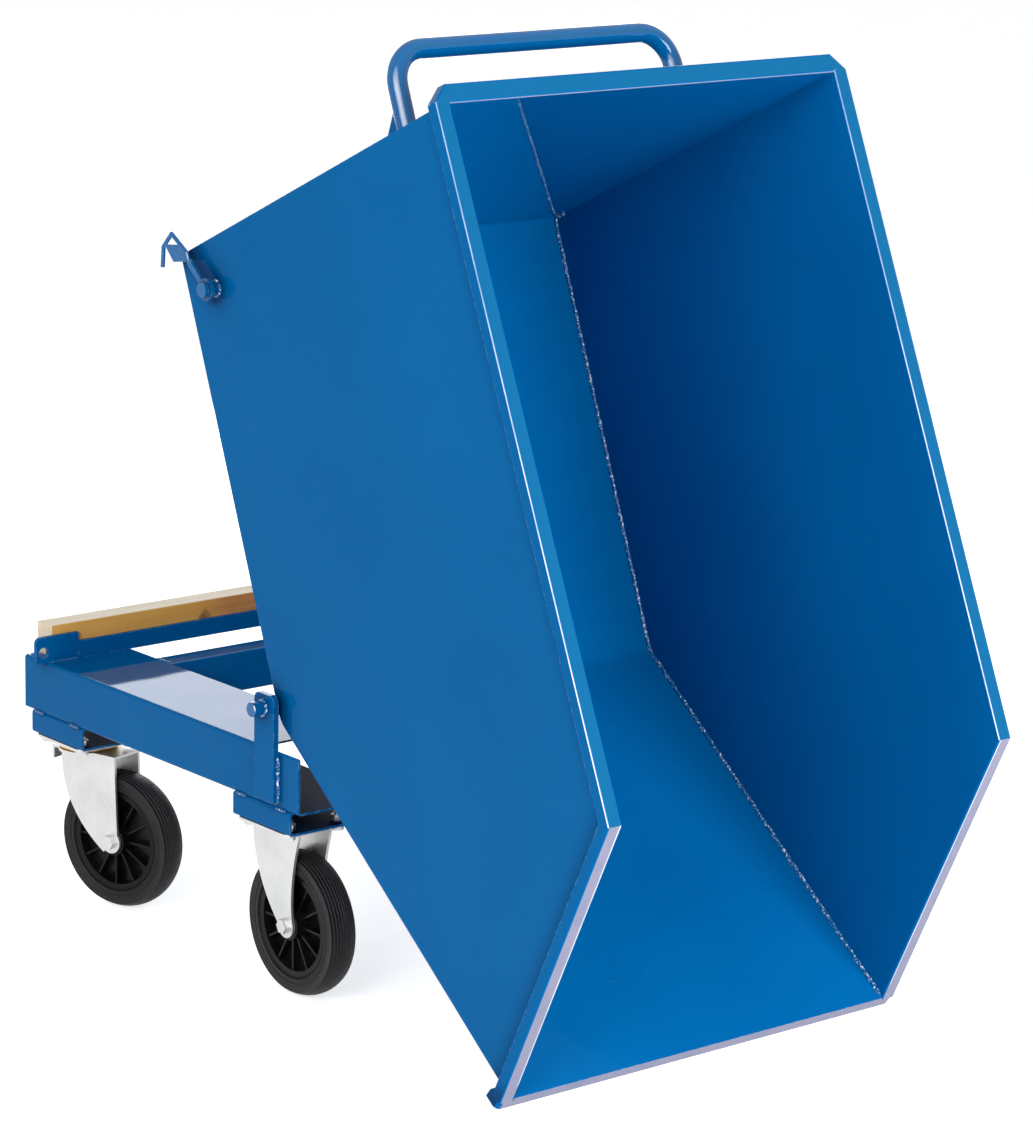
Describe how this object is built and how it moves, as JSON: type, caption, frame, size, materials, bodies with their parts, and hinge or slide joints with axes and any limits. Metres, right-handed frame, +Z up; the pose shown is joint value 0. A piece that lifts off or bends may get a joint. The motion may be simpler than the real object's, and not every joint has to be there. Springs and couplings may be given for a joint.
{
  "type": "tipping skip trolley",
  "caption": "Sheet-steel skip hinged at the front of a low castor chassis, tipped forward onto its lip, with a push handle and a latch.",
  "frame": {"origin": "on the floor under the middle of the trolley's overall length, with the skip tipped", "axes": "+X forward, the way the skip tips; +Y to the trolley's left; +Z up"},
  "size_m": [1.3064, 0.714, 1.2957],
  "materials": {
    "blue_paint": "glossy",
    "bright_zinc": "bright zinc plating",
    "yellow_zinc": "yellow passivated zinc plating",
    "timber": "planed softwood",
    "rubber": "matte",
    "black_plastic": "moulded",
    "bush": "plain"
  },
  "bodies": {
    "chassis": {"side_member_right": "blue_paint", "side_member_left": "blue_paint", "pivot_bracket_right": "blue_paint", "pivot_bracket_left": "blue_paint", "pivot_pin_right": "blue_paint", "pivot_pin_left": "blue_paint", "castor_pads": "blue_paint", "castor_bolts": "bright_zinc", "cross_member": "blue_paint", "stop_angle": "blue_paint", "latch_lug": "blue_paint", "rest_bar": "timber", "rest_bar_screws": "bright_zinc", "fixed_fork_right": "bright_zinc", "fixed_fork_left": "bright_zinc", "fixed_axle_right": "bright_zinc", "fixed_axle_left": "bright_zinc", "swivel_plate_right": "bright_zinc", "swivel_plate_left": "bright_zinc", "ball_race_right": "yellow_zinc", "ball_race_left": "yellow_zinc", "kingpin_right": "bright_zinc", "kingpin_left": "bright_zinc"},
    "skip": {"skip_wrap": "blue_paint", "skip_side_right": "blue_paint", "skip_side_left": "blue_paint", "lip_bar": "blue_paint", "pivot_tube": "blue_paint", "handle": "blue_paint", "handle_gussets": "blue_paint", "latch_spacer": "blue_paint", "latch_bolt": "blue_paint"},
    "latch": {"latch_lever": "blue_paint"},
    "swivel_right": {"swivel_fork_right": "bright_zinc", "swivel_axle_right": "bright_zinc"},
    "swivel_left": {"swivel_fork_left": "bright_zinc", "swivel_axle_left": "bright_zinc"},
    "wheel_front_right": {"tyre_front_right": "rubber", "wheel_centre_front_right": "black_plastic", "wheel_bush_front_right": "bush"},
    "wheel_front_left": {"tyre_front_left": "rubber", "wheel_centre_front_left": "black_plastic", "wheel_bush_front_left": "bush"},
    "wheel_rear_right": {"tyre_rear_right": "rubber", "wheel_centre_rear_right": "black_plastic", "wheel_bush_rear_right": "bush"},
    "wheel_rear_left": {"tyre_rear_left": "rubber", "wheel_centre_rear_left": "black_plastic", "wheel_bush_rear_left": "bush"}
  },
  "joints": [
    {"name": "skip_tip", "type": "hinge", "parent": "chassis", "child": "skip", "pos_m": [-0.05969, 0, 0.4075], "axis": [0, 1, 0], "range_deg": [-70.32, 0]},
    {"name": "latch_swing", "type": "hinge", "parent": "skip", "child": "latch", "pos_m": [-0.18973, -0.338, 0.94888], "axis": [0, -1, 0], "range_deg": [0, 43]},
    {"name": "castor_swivel_right", "type": "hinge", "parent": "chassis", "child": "swivel_right", "pos_m": [-0.57019, -0.276, 0.22], "axis": [0, 0, 1], "continuous": true},
    {"name": "wheel_spin_rear_right", "type": "hinge", "parent": "swivel_right", "child": "wheel_rear_right", "pos_m": [-0.50963, -0.25864, 0.1], "axis": [-0.2756, 0.9613, 0], "continuous": true},
    {"name": "wheel_spin_front_right", "type": "hinge", "parent": "chassis", "child": "wheel_front_right", "pos_m": [-0.05169, -0.276, 0.1], "axis": [0, 1, 0], "continuous": true},
    {"name": "castor_swivel_left", "type": "hinge", "parent": "chassis", "child": "swivel_left", "pos_m": [-0.57019, 0.276, 0.22], "axis": [0, 0, 1], "continuous": true},
    {"name": "wheel_spin_rear_left", "type": "hinge", "parent": "swivel_left", "child": "wheel_rear_left", "pos_m": [-0.50963, 0.29336, 0.1], "axis": [-0.2756, 0.9613, 0], "continuous": true},
    {"name": "wheel_spin_front_left", "type": "hinge", "parent": "chassis", "child": "wheel_front_left", "pos_m": [-0.05169, 0.276, 0.1], "axis": [0, 1, 0], "continuous": true}
  ]
}
